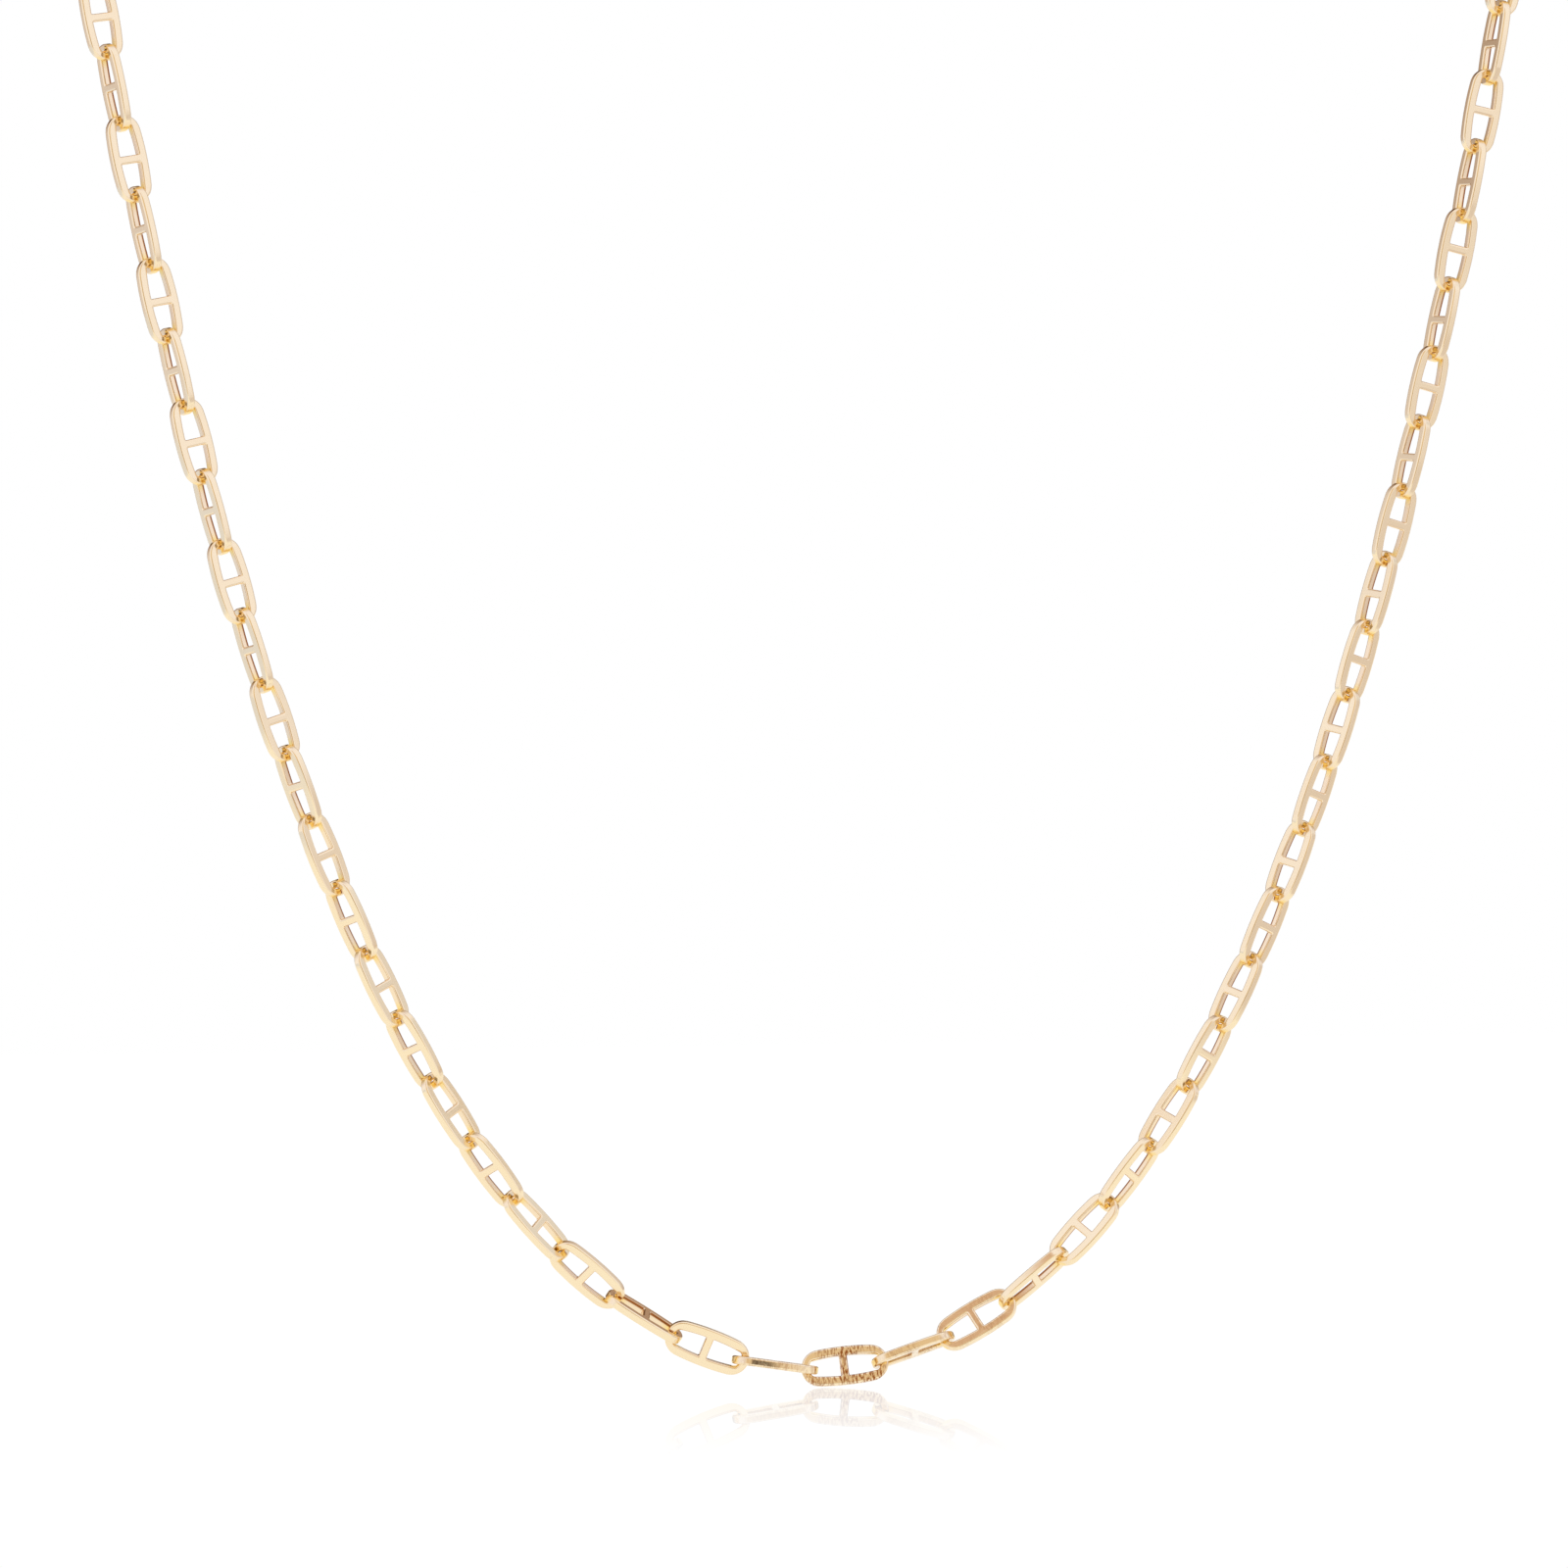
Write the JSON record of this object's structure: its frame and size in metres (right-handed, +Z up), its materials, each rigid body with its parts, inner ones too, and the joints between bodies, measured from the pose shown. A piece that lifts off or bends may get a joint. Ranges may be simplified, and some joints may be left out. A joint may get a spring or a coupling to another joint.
{
  "type": "flat anchor link neck chain",
  "caption": "Gold neck chain of flat oval anchor links with a cross bar, each turned a quarter against the next, closed by a plain clasp; front hangs as a curve",
  "frame": {"origin": "the middle of the back of the loop, where the chain rests on the nape, at the clasp", "axes": "+Z up, so the front hangs towards -Z; the front faces -Y and +Y is to the back; +X is to the right of someone who looks at the front"},
  "size_m": [0.1149, 0.0585, 0.1474],
  "materials": {
    "link_gold": "pale 14 carat yellow gold, polished flat faces with fine hairlines, worn round edges",
    "clasp_gold": "pale 14 carat yellow gold, polished"
  },
  "bodies": {
    "root": {"link_01": "link_gold", "link_02": "link_gold", "link_03": "link_gold", "link_04": "link_gold", "link_05": "link_gold", "link_06": "link_gold", "link_07": "link_gold", "link_08": "link_gold", "link_09": "link_gold", "link_10": "link_gold", "link_11": "link_gold", "link_12": "link_gold", "link_13": "link_gold", "link_14": "link_gold", "link_15": "link_gold", "link_16": "link_gold", "link_17": "link_gold", "link_18": "link_gold", "link_19": "link_gold", "link_20": "link_gold", "link_21": "link_gold", "link_22": "link_gold", "link_23": "link_gold", "link_24": "link_gold", "link_25": "link_gold", "link_26": "link_gold", "link_27": "link_gold", "link_28": "link_gold", "link_29": "link_gold", "link_30": "link_gold", "link_31": "link_gold", "link_32": "link_gold", "link_33": "link_gold", "link_34": "link_gold", "link_35": "link_gold", "link_36": "link_gold", "link_37": "link_gold", "link_38": "link_gold", "link_39": "link_gold", "link_40": "link_gold", "link_41": "link_gold", "link_42": "link_gold", "left_nape_links": "link_gold", "left_side_links": "link_gold", "left_shoulder_links": "link_gold", "right_shoulder_links": "link_gold", "right_side_links": "link_gold", "right_nape_links": "link_gold", "clasp": "clasp_gold"}
  },
  "joints": []
}
